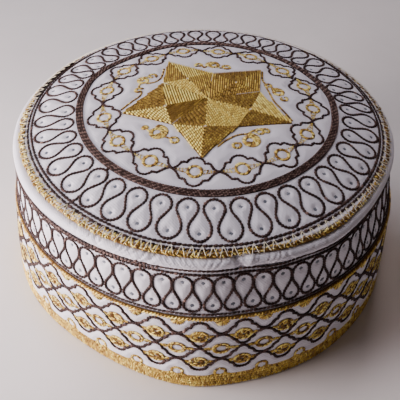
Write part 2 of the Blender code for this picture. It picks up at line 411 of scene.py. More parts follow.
# azimuth, distance of the inner ends and of the outer ends from the middle
CROWN_REACH = (
    (-176, 57.4, 74.9), (-166, 57.7, 74.7), (-157, 57.8, 74.3), (-135, 57.9, 74.2), (-120, 58, 74.6),
    (-108, 58, 75), (-90, 58, 75.2), (-76, 58, 74.9), (-60, 58, 74.4), (-25, 58.9, 74.5),
    (0, 59.3, 75.1), (9, 59.1, 75.6), (17, 57.6, 74.3), (30, 57.4, 74.4), (60, 56.6, 74.5),
    (120, 56.6, 74.5), (137, 57.2, 74), (147, 58.2, 73.6), (157, 58.9, 74.4), (165, 59, 75.7),
    (175, 58.1, 74.9),
)
# Distances of the eyelets from the middle: in the outer ends and in the inner ends
CROWN_TACKS = (71.4, 61.6)

# Wall loops: 68 lobes between heights 45.2 and 62.2
WALL_LOBES = 68
WALL_LOBE_START = -89.8
# share of the way round to the lower end, height
WALL_LOBE = (
    (0, 62.2), (0.38, 61.9), (0.70, 61), (0.89, 59.7), (0.95, 58.2), (0.95, 56.7), (0.89, 55.2),
    (0.76, 54), (0.60, 52.8), (0.42, 51.6), (0.27, 50.4), (0.18, 49.2), (0.155, 48.2), (0.23, 47),
    (0.42, 46), (0.72, 45.4), (1, 45.25),
)
# azimuth, degrees that the lobes there have drifted
WALL_DRIFT = (
    (-150, -0.9), (-133, -1), (-122, -0.8), (-111, -0.2), (-100, 0.3), (-63, 0.4), (-58, 0.2),
    (-53, -0.5), (-48, -0.6), (-42, 0), (-38, -1), (-33, -1.3), (-26, 0),
)
# Heights of the eyelets: in the upper ends and in the lower ends
WALL_TACKS = (59.2, 48.2)

# Distances from the middle of the crown's two brown lines
CROWN_LINES = (75.9, 77.5)
# Short rows outside them at the left: first azimuth, last azimuth, distance from the middle, places
LADDER = (-188, -138, 79.1, 50)
SMUDGE = (-214, -189, 79.4, 25)
# azimuth, how far the crown's lines lie out of their circles
LINE_DRIFT = (
    (-170, 0.2), (-150, -0.35), (-125, -0.4), (-113, 0.1), (-103, 0.6), (-90, 0.75), (-80, 0.35),
    (-70, 0.15), (-60, -0.1), (-45, -0.4), (-30, -0.3), (0, 0.2), (20, 0.2), (160, 0.4),
)
# Heights of the wall's brown lines: two under the roll and one over the cord
WALL_LINES = (66.1, 63.45, 43.9)
# Where a lighter line runs between the two upper ones, at the lit left: a painted reflection of
# warm light on the cloth between them
GLOW_BETWEEN_LINES = (-146, -100)
# azimuth, how far the upper and the lower of the two under the roll run above their heights
WALL_LINE_DRIFT = (
    (-170, 0.3, 0), (-150, 0.4, 0), (-143, -0.3, -0.1), (-136, -1.2, -0.2), (-130, -1, 0),
    (-125, -0.6, 0.1), (-120, -0.2, 0.2), (-110, 0.2, 0.4), (-104, 0.5, 0.4), (-98, 0.3, 0.3),
    (-90, 0, 0.1), (-82, -0.3, -0.1), (-77, -0.6, -0.3), (-72, -1.2, -0.4), (-68, -0.8, -0.2),
    (-62, 0.3, 0.2), (-57, 0, 0.1), (-50, -0.3, 0), (-40, -0.5, 0), (-25, -0.4, 0), (0, 0, 0),
)

# Barbed flowers round the middle of the crown
# azimuth, distance from the middle
FLOWERS = (
    (-94.8, 45.3), (-70.8, 45.2), (-47.1, 45.4), (-24.4, 46.2), (-1.2, 46.2), (20.2, 46.4),
    (38.8, 44.5), (62.8, 44.2), (83.5, 43), (105.7, 44.4), (127, 43.8), (148.1, 45.2),
    (170, 45), (-164.3, 44.8), (-142.2, 45.2), (-118.6, 45.1),
)
# Quarter outline of a flower, from its top to the neck it shares with the next flower
# sideways, upwards
FLOWER_QUARTER = (
    (0, 7.1), (1.7, 6.6), (2.8, 5.4), (3.5, 4.1), (4.9, 4.3), (5.8, 2.9), (6.8, 1.3), (8.9, -0.3),
)
FLOWER_HALF = 8.6
# Radius of the gold ring in a flower, and the thread and the leaf from it towards a neck
# sideways, upwards
FLOWER_RING = 2.7
FLOWER_TAIL = ((2.9, 1), (4.8, 0.75), (7.4, 0.1))
FLOWER_LEAF = ((3.8, 0), (6.6, 0))

# Lattice of barbed cells on the lower band
LATTICE_COLUMNS = 31
LATTICE_START = -90.0
LATTICE_HALF = 8.8
LATTICE_RISE = 7.4
# Quarter outlines of a cell, from its tip to its side: the outer rows are broad and the inner ones narrow
# sideways, upwards
LATTICE_BROAD = ((0, 7.4), (1.8, 7), (3.1, 5.8), (3.5, 4.3), (5, 3.5), (5.8, 1.9), (7, 0.9), (8.8, 0.1))
LATTICE_NARROW = ((0, 7.4), (1.3, 6.9), (2.3, 5.9), (2.8, 4.6), (4.3, 3.7), (5, 2.1), (6.3, 1.1), (8.8, 0.1))
LATTICE_TOP = 39.5
LATTICE_NECKS = (33.1, 25.7, 18.4)
LATTICE_CROSSING = 0.55
LATTICE_FOOT = 11.6
LATTICE_STEP = 360.0 / LATTICE_COLUMNS
# Azimuth of one of a cell's own millimetres
LATTICE_MM = LATTICE_STEP / (2 * LATTICE_HALF)
# How far the eyes of each row lie below its necks, and how much broader than high they are
EYE_DROPS = (1.2, 0.9, 1.6)
EYE_STRETCH = 1.25
# Satin rings of the filled eyes and of the open ones
# radius, reach, slant, tone, pitch
EYE_FILLED = ((2.55, 1.6, 52, 0.62, 0.55), (1.25, 2.1, 70, 0.26, 0.55))
EYE_OPEN = ((2.65, 1.3, 48, 0.68, 0.55), (1.85, 0.9, -35, 0.2, 0.7))
# Where the leaf at either side of an eye begins and ends, and the slants of its two rows
EYE_LEAF = (3.6, 6.9)
LEAF_SLANTS = (38, -52)
# Scallops under the cord and arches on the hem, between the columns
# height, radius, azimuths of its two ends
SCALLOP = (CORD_HEIGHT - 1.0, 1.9, 180, 360)
ARCH = (HEM_TOP + 1.4, 2.3, -35, 215)


def mirrored(quarter):
    """A half outline from the smooth curve through a quarter outline."""
    half = smooth_curve(quarter, 0.2)
    return np.vstack([half[::-1] * [-1, 1], half[1:]])


# Ends of the crown's looping line: in from the crown's edge, and out to the brown ring
# azimuth, distance from the middle
LOOP_ENDS = (
    ((-132.6, 78.6), (-132.7, 77), (-132.4, 75.4), (-131.7, 73.6), (-131.8, 71.9)),
    ((-128.9, 61), (-129.8, 59.2), (-131.2, 57.8), (-132.4, 56.6)),
)


def read_table(table, azimuth, column=1):
    """A column of a table at some azimuths, all the way round."""
    table = np.array(table)
    return np.interp(azimuth, table[:, 0], table[:, column], period=360.0)


def crown_place(azimuth, radius):
    """Where a place of the crown's even lobes comes to lie as they lean and reach in or out."""
    share = (radius - CROWN_LOBE[-1][1]) / (CROWN_LOBE[0][1] - CROWN_LOBE[-1][1])
    azimuth = azimuth + read_table(CROWN_LEAN, azimuth) * share
    inner, outer = (read_table(CROWN_REACH, azimuth, column) for column in (1, 2))
    return azimuth, inner + (outer - inner) * share


def crown_tips():
    """Azimuths of the crown lobes' outer and inner ends in turn, once round, before they lean."""
    inner = np.array(CROWN_LOBE_ENDS)
    before = np.concatenate([[inner[-1] - 360.0], inner[:-1]])
    tips = columns(0.5 * (before + inner), inner).ravel()
    return np.append(tips, tips[0] + 360.0)


def wall_tips():
    """Azimuths of the wall lobes' upper and lower ends in turn, once round."""
    upper = WALL_LOBE_START + np.arange(WALL_LOBES + 1) * 360.0 / WALL_LOBES
    upper = upper + read_table(WALL_DRIFT, upper)
    lower = 0.5 * (upper[:-1] + upper[1:])
    return np.append(columns(upper[:-1], lower).ravel(), upper[-1])


def part_turn(first, last, level, count):
    return columns(np.linspace(first, last, count), level)


@sewn
def crown_lines():
    """The two brown lines near the crown's edge, and the short rows outside them."""
    for radius in CROWN_LINES:
        path = full_turn(radius)
        path[:, 1] += read_table(LINE_DRIFT, path[:, 0])
        yield run_stitch(ringed, path, pitch=1.9, length=2.15, width=1.25, height=0.65, slant=11, tone=0.42)
    yield run_stitch(ringed, part_turn(*LADDER), pitch=1.5, length=1.0, width=0.8)
    yield run_stitch(ringed, part_turn(*SMUDGE), pitch=0.9, length=1.9, width=0.9, height=1.4, lift=0.5,
                     slant=55)


@sewn
def crown_loops():
    path = looped(CROWN_LOBE, crown_tips())
    for part in (columns(*crown_place(*path.T)), *LOOP_ENDS):
        yield run_stitch(ringed, part, length=1.6, width=1.2, height=0.65, slant=21, tone=0.46)


@sewn
def wall_lines():
    """Two brown lines under the roll, with a lighter one between them at the left, a painted
    reflection, and one over the cord.
    """
    for column, z in enumerate(WALL_LINES[:2], 1):
        path = full_turn(z)
        path[:, 1] += read_table(WALL_LINE_DRIFT, path[:, 0], column)
        yield run_stitch(wall, path, pitch=1.7, length=1.95, width=1.15, height=0.8, lift=0.3, slant=13,
                         tone=0.48)
    # A lighter row at the left, a painted reflection between the two lines
    azimuth = np.arange(*GLOW_BETWEEN_LINES, 1.0)
    upper, lower = (z + read_table(WALL_LINE_DRIFT, azimuth, k) for k, z in enumerate(WALL_LINES[:2], 1))
    between = columns(azimuth, 0.5 * (upper + lower))
    yield run_stitch(wall, between, pitch=1.5, length=1.7, width=0.8, height=0.6, lift=0.3, slant=16,
                     tone=0.86, spread=0.12)
    yield run_stitch(wall, full_turn(WALL_LINES[2]), pitch=1.7, length=1.9, width=0.95, height=0.6,
                     lift=0.25, slant=12, tone=0.5)


def wall_loops():
    return run_stitch(wall, looped(WALL_LOBE, wall_tips()), length=1.6, width=1.15, slant=20, tone=0.46)


def full_turn(level, step=1.0):
    return columns(np.arange(-180.0, 180.0 + step, step), level)


def flower_frame(i):
    """Middle of a flower, its outward and sideways directions, and the stretch of its two sides."""
    azimuth, distance = FLOWERS[i]
    out = bearing(azimuth)
    centre = distance * out

    def stretch(j):
        azimuth, distance = FLOWERS[j % len(FLOWERS)]
        return np.linalg.norm(distance * bearing(azimuth) - centre) / 2 / FLOWER_HALF

    return centre, out, np.array([-out[1], out[0]]), stretch(i - 1), stretch(i + 1)


def on_flower(i, path):
    """A path in a flower's own sideways and upwards directions, as places in plan."""
    centre, out, side, before, after = flower_frame(i)
    path = np.asarray(path, float)
    sideways = path[:, 0] * np.where(path[:, 0] < 0, before, after)
    drop = sideways ** 2 / (2 * math.sqrt(centre @ centre))
    return centre + sideways[:, None] * side + (path[:, 1] - drop)[:, None] * out


@sewn
def flower_outlines():
    half = mirrored(FLOWER_QUARTER)
    for i in range(len(FLOWERS)):
        for flip in (1, -1):
            yield run_stitch(crown, on_flower(i, half * [1, flip]), pitch=1.2, length=1.5, width=1.1,
                             height=0.65, slant=20)


@sewn
def flower_rings():
    """Gold ring in each flower, with two thin threads and a leaf from it to each neck."""
    for i in range(len(FLOWERS)):
        middle = on_flower(i, [(0.0, 0.0)])[0]
        ring = circle_path(*middle, FLOWER_RING)
        yield satin(crown, ring, reach=1.6, width=0.6, slant=55, tone=0.58, spread=0.5)
        for flip in (1, -1):
            for tilt in (1, -1):
                tail = on_flower(i, np.array(FLOWER_TAIL) * [flip, tilt])
                yield run_stitch(crown, tail, pitch=1.1, length=1.0, width=0.42, height=0.4, slant=28,
                                 tone=0.7, spread=0.4)
            leaf = on_flower(i, np.array(FLOWER_LEAF) * [flip, 1])
            yield satin(crown, leaf, pitch=1.3, reach=2.0, reach_end=0.6, width=0.3, slant=62 * flip,
                        tone=0.9, spread=0.3)


def in_column(column, path):
    """A path in a lattice column's own sideways millimetres and heights, as azimuths and heights."""
    path = np.asarray(path, float)
    return columns(LATTICE_START + LATTICE_STEP * (column + path[:, 0] / (2 * LATTICE_HALF)), path[:, 1])


@sewn
def lattice_lines():
    broad, narrow = mirrored(LATTICE_BROAD), mirrored(LATTICE_NARROW)
    upper, middle, lower = LATTICE_NECKS
    # outline, height of its ends, height of its tip
    edges = (
        (broad, upper, LATTICE_TOP), (narrow, upper, middle + LATTICE_CROSSING),
        (narrow, lower, middle - LATTICE_CROSSING), (broad, lower, LATTICE_FOOT),
    )
    for column in range(LATTICE_COLUMNS):
        for half, neck, tip in edges:
            path = columns(half[:, 0], neck + half[:, 1] / LATTICE_RISE * (tip - neck))
            yield run_stitch(wall, in_column(column, path), pitch=1.2, length=1.7, width=1.32, slant=19,
                             tone=0.46)


@sewn
def lattice_motif(column, height, filled):
    """Gold eye of a lattice cell: satin rings round a dark or open middle, and a leaf to each side."""
    centre, stretch = LATTICE_START + LATTICE_STEP * column, LATTICE_MM * EYE_STRETCH
    for radius, reach, slant, tone, pitch in EYE_FILLED if filled else EYE_OPEN:
        path = circle_path(centre, height, radius, stretch=stretch)
        yield satin(wall, path, pitch=pitch, reach=reach, width=0.52, lift=0.25, tone=tone, spread=0.5,
                    slant=slant)
    for flip in (1, -1):
        leaf = in_column(column, [(sideways * flip, height) for sideways in EYE_LEAF])
        for slant in LEAF_SLANTS:
            yield satin(wall, leaf, pitch=0.9, reach=3.9, reach_end=0.9, width=0.34, slant=slant * flip,
                        tone=0.58, spread=0.38)


@sewn
def lattice_gold():
    """Gold eyes of the lattice, with a scallop under the cord and an arch on the hem between its columns."""
    for column in range(LATTICE_COLUMNS):
        for row, (neck, drop) in enumerate(zip(LATTICE_NECKS, EYE_DROPS)):
            inner = row == 1
            yield lattice_motif(column + 0.5 * inner, neck - drop, not inner)
        centre = LATTICE_START + LATTICE_STEP * (column + 0.5)
        scallop = circle_path(centre, *SCALLOP, stretch=LATTICE_MM)
        yield satin(wall, scallop, pitch=0.55, reach=2.8, width=0.55, lift=0.2, tone=0.55, spread=0.38)
        arch = circle_path(centre, *ARCH, stretch=LATTICE_MM)
        yield satin(wall, arch, pitch=0.55, reach=1.4, width=0.52, tone=0.62, spread=0.36)


# Scrolls of gold thread round the star
# x, y, outer radius, inner radius, azimuth where it starts, turns, length of the stitches
CURLS = (
    (-19.6, -23.6, 4, 1.3, 100, -1.6, 2),
    (-12.6, -28.5, 1.9, 1.2, 150, -1, 1.3),
    (-25.2, -20.6, 1.1, 0.5, 0, 1, 1.5),
    (18.3, -27, 3.8, 1.2, 110, -1.7, 1.9),
    (12.6, -30.3, 1.8, 1.2, 60, -1, 1.3),
    (22.3, -21.3, 1.8, 1.2, 210, -0.9, 1.4),
    (25.2, -20.4, 1.1, 0.8, 90, -0.8, 1),
    (27.5, 12.6, 1.6, 0.8, 250, -1, 1.4),
    (31.2, 7.8, 2.9, 1, 150, -1.3, 1.9),
    (33.6, 3.2, 1.7, 1, 60, -0.8, 1.4),
    (-4, 27.6, 1.7, 0.9, 240, -1, 1.4),
    (2.6, 28, 2.9, 1.1, 200, -1.4, 1.9),
    (8.7, 26.2, 2, 1, 170, -1, 1.4),
    (-24.9, 17.6, 2, 1, 330, 0.9, 1.4),
    (-28.4, 14, 2.7, 1, 60, 1.3, 1.9),
    (-29.9, 5.9, 1.9, 0.9, 30, 0.9, 1.5),
)
# Stems of the scrolls, through three or more places each
STEMS = (
    ((-24.6, -20.9), (-23.4, -22.4), (-22.2, -23.8)),
    ((-16.4, -26.4), (-15.2, -26.9), (-14.2, -27.4)),
    ((5, -31.6), (8.4, -27.7), (12.9, -24.3), (17.4, -23)),
    ((17.4, -23), (19.6, -20.8), (22.4, -19.4), (25.6, -19)),
    ((25.2, 24.6), (24.9, 17.6), (25.9, 13.8)),
    ((28.6, 11.4), (29.4, 10.8), (29.9, 10)),
    ((26.4, 10.6), (27.2, 7.8), (29.2, 0.7), (32.4, -5), (36.4, -12)),
    ((-2.6, 27.2), (-1.6, 25.4), (-0.4, 26.6)),
    ((4.8, 26.2), (6.2, 25.4), (7, 26.2)),
    ((-19.9, 24), (-20.8, 16), (-23.3, 12.4), (-27, 11.4)),
    ((-29.6, 11.4), (-30.2, 9.6), (-30, 7.8)),
    ((-28.4, 5), (-29.2, 1.4), (-32.6, -2.8), (-36.4, -8)),
)


@sewn
def scrolls():
    for x, y, radius, inner, start, turns, reach in CURLS:
        path = spiral_path(x, y, radius, inner, start, turns)
        yield satin(crown, path, reach=1.2 * reach, width=0.6, slant=55, spread=0.45)
    for stem in STEMS:
        yield run_stitch(crown, smooth_curve(stem, 0.2), pitch=0.8, length=1.15, width=0.8, height=0.6,
                         slant=26, tone=0.42, spread=0.3)


# Star of twenty satin facets
STAR_CENTRE = np.array((0.4, -1.2))
STAR_EDGE_RISE = 0.6
STAR_RIDGE_RISE = 1.1
# Corners of each arm, in plan: its tip, the middle of its ridge, and the valley that follows it
# tip x, tip y, ridge x, ridge y, valley x, valley y
STAR_ARMS = (
    (-1.3, -38.6, -0.3, -20.9, 13.4, -19.4),
    (36.4, -13.9, 18.7, -8.2, 23.4, 6.2),
    (24.4, 25.4, 12.8, 11.5, 2.5, 19.7),
    (-18.5, 30.5, -8.8, 13.7, -19.7, 10.9),
    (-35.6, -10.5, -17.3, -7.4, -13.8, -19.1),
)
# Threads of each arm's four facets: their azimuth, their spacing, the length of a stitch,
# or 0 where they run right across, and their tone. The tone is painted sheen and shade:
# facets whose threads catch the lamps are painted bright and the others dark. The first
# facet of a pair lies clockwise of the arm's ridge and the second one anticlockwise.
# outer pair, inner pair
STAR_THREADS_AND_SHADING = (
    (((-62, 0.95, 1.7, 0.78), (58, 0.9, 1.5, 0.48)), ((55, 0.75, 1.8, 0.44), (-68, 0.95, 1.5, 0.78))),
    (((58, 0.9, 1.5, 0.42), (-63, 1.1, 0, 0.84)), ((-62, 0.95, 1.5, 0.72), (60, 0.9, 1.5, 0.42))),
    (((86, 1, 0, 0.60), (88, 0.55, 0, 0.37)), ((80, 0.95, 2.6, 0.49), (88, 1, 0, 0.60))),
    (((-76, 1, 0, 0.82), (92, 0.95, 0, 0.52)), ((100, 0.95, 0, 0.53), (-60, 0.9, 1.4, 0.80))),
    (((46, 0.9, 1.6, 0.43), (-48, 0.95, 1.6, 0.85)), ((104, 1.1, 0, 0.86), (50, 0.55, 0, 0.36))),
)


def star_corners():
    corners = np.array(STAR_ARMS)
    return corners[:, 0:2], corners[:, 4:6], corners[:, 2:4]


def raised(point, rise):
    return np.append(point, crown(*point)[2] + rise)


def star_facets():
    """Each facet as three raised corners, the thread's azimuth, spacing, stitch and tone."""
    tips, valleys, ridges = star_corners()
    for i, (outer, inner) in enumerate(STAR_THREADS_AND_SHADING):
        ridge = raised(ridges[i], STAR_RIDGE_RISE)
        for j, threads in zip((i - 1, i), outer):
            yield ridge, raised(tips[i], STAR_EDGE_RISE), raised(valleys[j], STAR_EDGE_RISE), threads
        for j, threads in zip((i - 1, i), inner):
            yield raised(STAR_CENTRE, STAR_RIDGE_RISE), ridge, raised(valleys[j], STAR_EDGE_RISE), threads


# Length of a stitch where threads run right across, and the shortest run of thread
STAR_LONG_STITCH = 3.0
STAR_SHORTEST = 0.4
# How far threads stay inside a facet's edges
STAR_INSET = 0.02
# What a thread has over its length in plan, and its width as a share of the spacing
STAR_IN_STITCHES = (0.05, 0.77)
STAR_RIGHT_ACROSS = (0.9, 0.66)


def crossings(plan, along, across, level):
    """How far along a thread it enters and leaves a facet."""
    ends = []
    for p, q in zip(plan, np.roll(plan, -1, 0)):
        hp, hq = p @ across - level, q @ across - level
        if hp * hq < 0:
            ends.append((p + (q - p) * hp / (hp - hq)) @ along)
    return ends


def fill_facet(a, b, c, threads):
    """Rows of parallel threads that fill a triangle."""
    azimuth, spacing, stitch, tone = threads
    piece = stitch or STAR_LONG_STITCH
    corners = np.array([a, b, c])
    middle = corners.mean(0)
    normal = unit(np.cross(b - a, c - a))
    normal = normal * np.sign(normal[2])
    along = bearing(azimuth)
    across = np.array([-along[1], along[0]])
    plan = (corners - middle)[:, :2]
    low, high = (plan @ across).min(), (plan @ across).max()
    count = max(1, round((high - low) / spacing))
    centres, lengths = [], []
    for k in range(count):
        level = low + (k + 0.5) * (high - low) / count
        ends = crossings(plan, along, across, level)
        if len(ends) < 2 or max(ends) - min(ends) < STAR_SHORTEST:
            continue
        start, end = min(ends) + STAR_INSET, max(ends) - STAR_INSET
        cuts = np.linspace(start, end, max(1, round((end - start) / piece)) + 1)
        cuts[1:-1] += (k % 2 - 0.5) * 0.5 * piece
        for s, e in zip(cuts, cuts[1:]):
            centres.append(0.5 * (s + e) * along + level * across)
            lengths.append(max(e - s, STAR_SHORTEST))
    centres = np.array(centres)
    excess, fullness = STAR_IN_STITCHES if stitch else STAR_RIGHT_ACROSS
    lengths = np.array(lengths) + excess
    width = spacing * fullness
    slope = -(normal[0] * centres[:, 0] + normal[1] * centres[:, 1]) / normal[2]
    points = np.column_stack([centres, slope]) + middle + normal * 0.05
    ahead = np.append(along, -(normal[:2] @ along) / normal[2])
    # A facet's tone is painted sheen where its threads catch the lamps and painted shade where they don't
    tones = uneven(tone + 0.06, 0.13, len(points))
    return stitches_at(points, ahead, normal, lengths, width, height=0.75, tone=tones)


def star_seam(valley, tone, count=14):
    """Stitches down the valley between two facets whose threads run nearly along it."""
    low = raised(star_corners()[1][valley], STAR_EDGE_RISE)
    ahead = raised(STAR_CENTRE, STAR_RIDGE_RISE) - low
    share = (np.arange(count) + 0.5)[:, None] / count
    points = low + ahead * share + [0.0, 0.0, 0.1]
    return stitches_at(points, ahead, [0.0, 0.0, 1.0], length=1.9, width=0.9, height=0.7, tone=tone)


def star_threads():
    return np.vstack([fill_facet(*facet) for facet in star_facets()] + [star_seam(0, 0.75)])


# Size of the white spot on each ridge, the direction of its stitches and the space between them
STAR_SPOTS = (1, 1.1, 0.8, 0.7, 1.2)
SPOT_LIE = (0.35, 1.0, 0.0)
SPOT_STEP = 0.35
# Share of each valley that shows white: valley, start, end
STAR_SLITS = ((4, 0, 0.25), (0, 0, 0.1), (1, 0, 0.45), (2, 0, 0.35), (3, 0, 0.15))


@sewn
def star_whites():
    """White threads that show where the facets meet: a spot on each ridge and a slit in each valley."""
    tips, valleys, ridges = star_corners()
    for ridge, size in zip(ridges, STAR_SPOTS):
        for k in (-1, 0, 1):
            points, normals = place(crown, *(ridge + [SPOT_STEP * k * size, 0.0])[:, None])
            points = points + normals * (STAR_RIDGE_RISE + 0.05)
            yield stitches_at(points, SPOT_LIE, normals, 1.3 * size, width=0.5, height=0.6, tone=0.5)
    for valley, start, end in STAR_SLITS:
        path = valleys[valley] + np.linspace(start, end, 8)[:, None] * (STAR_CENTRE - valleys[valley])
        yield run_stitch(crown, path, pitch=1.0, length=1.3, width=0.3, height=0.35,
                         lift=STAR_EDGE_RISE + 0.18, slant=0, tone=0.3)


# How far the padding stays inside the star's corners and below its threads, and how deep it goes
PADDING_SHARE = 0.995
PADDING_BELOW = 0.2
PADDING_DEPTH = 0.4


def star_padding(look):
    """Padding under the star's threads, a low faceted solid, dark in tone as painted shade in the
    gaps between the threads.
    """
    tips, valleys, ridges = star_corners()
    plan = np.vstack([STAR_CENTRE[None], tips, valleys, ridges]) * PADDING_SHARE
    rises = [STAR_RIDGE_RISE] + [STAR_EDGE_RISE] * 10 + [STAR_RIDGE_RISE] * 5
    points = np.array([raised(p, rise - PADDING_BELOW) for p, rise in zip(plan, rises)]
                      + [raised(p, -PADDING_DEPTH) for p in plan])
    n = len(plan)
    faces, rim = [], []
    for i in range(5):
        tip, before, after, ridge = 1 + i, 6 + (i - 1) % 5, 6 + i, 11 + i
        faces += [(0, before, ridge), (ridge, before, tip), (0, ridge, after), (ridge, tip, after)]
        rim += [tip, after]
    faces += [(n + a, n + c, n + b) for a, b, c in faces]
    for a, b in zip(rim, rim[1:] + rim[:1]):
        faces += [(a, n + b, b), (a, n + a, n + b)]
    # The padding's dark tone is painted shade that shows between the threads
    values = {"fibre": points, "tone": np.full(len(points), 0.06)}
    piece = make_mesh("star_padding", points, np.array(faces), values, look)
    piece.data.shade_flat()
    return piece


# Cloth


def join_rings(rings, loop=False):
    """Triangles between rings of points, each with as many as the last, half as many or twice as many."""
    counts = [len(r) for r in rings]
    starts = np.concatenate([[0], np.cumsum(counts)])
    faces = []
    for here in range(len(rings) - (not loop)):
        there = (here + 1) % len(rings)
        flipped = counts[there] > counts[here]
        p, q = (there, here) if flipped else (here, there)
        n, m, a, b = counts[p], counts[q], starts[p], starts[q]
        i = np.arange(n if m == 1 else m)
        j = (i + 1) % len(i)
        if m == 1:
            made = [(a + i, a + j, b)]
        elif n == m:
            made = [(a + i, a + j, b + j), (a + i, b + j, b + i)]
        else:
            k = a + 2 * i
            made = [(k, k + 1, b + i), (k + 1, b + j, b + i), (k + 1, a + 2 * j, b + j)]
        made = np.vstack([columns(*corners) for corners in made])
        faces.append(made[:, ::-1] if flipped else made)
    return np.vstack(faces)


def tree_of(points):
    tree = KDTree(len(points))
    for i, p in enumerate(points):
        tree.insert(p, i)
    tree.balance()
    return tree


def distances(tree, points):
    return np.array([tree.find(p)[2] for p in points])


# The cloth's puffs between its stitches, how far it is sewn in at them, and its dimples at the tacks
PUFF = 0.6
PUFF_REACH = 1.9
SEWN_IN = 0.12
TACK_DEPTH = 0.85
TACK_REACH = 1.25


def quilted(points, lines, tacks):
    """How far the cloth stands out between its lines of stitches, and sinks at its tacks."""
    out = PUFF * (1.0 - np.exp(-(distances(lines, points) / PUFF_REACH) ** 2)) - SEWN_IN
    if tacks is not None:
        out -= TACK_DEPTH * np.exp(-(distances(tacks, points) / TACK_REACH) ** 2)
    return out


def even_azimuths(count):
    return -180.0 + np.arange(count) * 360.0 / count


def closed_piece(name, rings, loop, values, look, node):
    """A closed skin over rings of points, in place of a node of the solids."""
    points, faces = np.vstack(rings), join_rings(rings, loop)
    piece = make_mesh(name, points, faces, values, look)
    if signed_volume(points, faces) < 0:
        piece.data.flip_normals()
    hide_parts(node)


def signed_volume(points, faces):
    a, b, c = (points[faces[:, k]] for k in range(3))
    return np.sum(a * np.cross(b, c)) / 6


# Edge of the crown's cloth, and how far the cloth stands up in the middle
CROWN_EDGE = RIM_RADIUS - 1.0
MIDDLE_RISE = 0.2
# smallest distance from the middle, space between rings, points in a ring
CROWN_RINGS = ((54, 0.74, 624), (27, 1.05, 312), (13.5, 1.1, 156), (1.5, 1.5, 78))
# Rings of the crown's underside: share of its edge's distance from the middle, points in a ring
CROWN_UNDERSIDE = (
    *((share, 156) for share in (0.1, 0.2, 0.3, 0.4, 0.5, 0.6, 0.7, 0.77, 0.84, 0.9, 0.95)),
    (0.98, 312), (1, 624),
)


def crown_cloth(lines, tacks, look):
    rings = [np.array([[0.0, 0.0, CROWN_TOP - CLOTH]])]
    for share, count in CROWN_UNDERSIDE:
        rings.append(ringed(even_azimuths(count), CROWN_EDGE * share) - [0, 0, CLOTH])
    start = CROWN_EDGE
    for last, spacing, count in CROWN_RINGS:
        for radius in np.arange(start, last, -spacing):
            points, normals = place(ringed, even_azimuths(count), radius)
            rings.append(points + normals * quilted(points, lines, tacks)[:, None])
        start = last
    rings.append(np.array([[0.0, 0.0, CROWN_TOP + MIDDLE_RISE]]))
    values = {"weave": np.vstack(rings) * [1, 1, 0]}
    closed_piece("crown_cloth", rings, False, values, look, "crown_panel")


def band_section(table, spacing):
    """Places along a section, evenly spaced, with their outward normals in the plane of the section."""
    curve = smooth_curve(table)
    reach = reaches(curve)
    at = np.linspace(0.0, reach[-1], round(reach[-1] / spacing) + 1)
    radius, z = (np.interp(at, reach, curve[:, k]) for k in range(2))
    return radius, z, unit(columns(np.gradient(z, at), -np.gradient(radius, at))), at


# Radius at which the weave has its true size
WEAVE_RADIUS = 85.0


def woven(azimuth, scale, at):
    """Places in the cloth or thread of a ring: sideways and along."""
    return columns(np.radians(azimuth) * scale, at, 0.0)


def band_cloth(name, section, spacing, count_at, lift, inside, look, node):
    """A band's cloth: its outer face along a section, lifted over its stitches, and rings inside it."""
    rings, weave = [], []
    radius, z, normal, at = band_section(section, spacing)
    for k in range(len(z)):
        azimuth = even_azimuths(count_at(z[k], at[k], at[-1]))
        base = out_of_round(azimuth, radius[k], z[k])
        rings.append(base + around(azimuth, *normal[k]) * lift(base, azimuth, z[k])[:, None])
        weave.append(woven(azimuth, WEAVE_RADIUS, at[k]))
    for k, (inner, height, count) in enumerate(inside):
        azimuth = even_azimuths(count)
        rings.append(out_of_round(azimuth, inner, height))
        weave.append(woven(azimuth, WEAVE_RADIUS, at[-1] + 2 * k))
    closed_piece(name, rings, True, {"weave": np.vstack(weave)}, look, node)


# The white roll: where its creases fade out below and above, its middle, and how far it is full
ROLL_FOOT, ROLL_FOOT_FADE = 66.0, 1.2
ROLL_HEAD, ROLL_HEAD_FADE = 70.6, 0.8
ROLL_MIDDLE = 68.2
ROLL_FULLNESS = 0.2
PUCKER_START, PUCKER_END = -138.0, -33.0
# The large creases: azimuth at the roll's middle, slant, width, depth
LARGE_PUCKERS = [
    (-80.2, -0.4, 0.8, 1.3), (-77.4, 0.3, 1.3, -0.7), (-104, 1, 0.8, 0.35), (-118, -0.8, 0.7, 0.3),
]


# Degrees over which the small creases begin and end, and the ranges of their measures
PUCKER_FADES = (20.0, 35.0)
PUCKER_STEPS = (0.8, 1.9)
PUCKER_SLANTS = (0.35, 1.0)
PUCKER_WIDTHS = (0.2, 0.42)
PUCKER_DEPTHS = (0.12, 0.32)


def pucker_lines():
    """Creases of the white roll: azimuth at its middle, slant in degrees a millimetre, width and depth."""
    azimuth, rows = PUCKER_START, []
    rise, fall = PUCKER_FADES
    while azimuth < PUCKER_END:
        strength = min(1.0, (azimuth - PUCKER_START) / rise, (PUCKER_END - azimuth) / fall)
        slant = chance.choice((-1.0, 1.0)) * chance.uniform(*PUCKER_SLANTS)
        width, depth = chance.uniform(*PUCKER_WIDTHS), strength * chance.uniform(*PUCKER_DEPTHS)
        rows.append((azimuth, slant, width, depth))
        azimuth += chance.uniform(*PUCKER_STEPS)
    return rows + LARGE_PUCKERS


PUCKERS = pucker_lines()


def puckered(azimuth, z):
    """How far the creases take the white roll in, or its gathers push it out."""
    up = np.clip((z - ROLL_FOOT) / ROLL_FOOT_FADE, 0, 1) * np.clip((ROLL_HEAD - z) / ROLL_HEAD_FADE, 0, 1)
    total = np.zeros(len(azimuth))
    if up <= 0:
        return total
    for centre, slant, width, depth in PUCKERS:
        away = (azimuth - centre - slant * (z - ROLL_MIDDLE)) / width
        total -= depth * np.exp(-away * away)
    return (total + ROLL_FULLNESS) * up


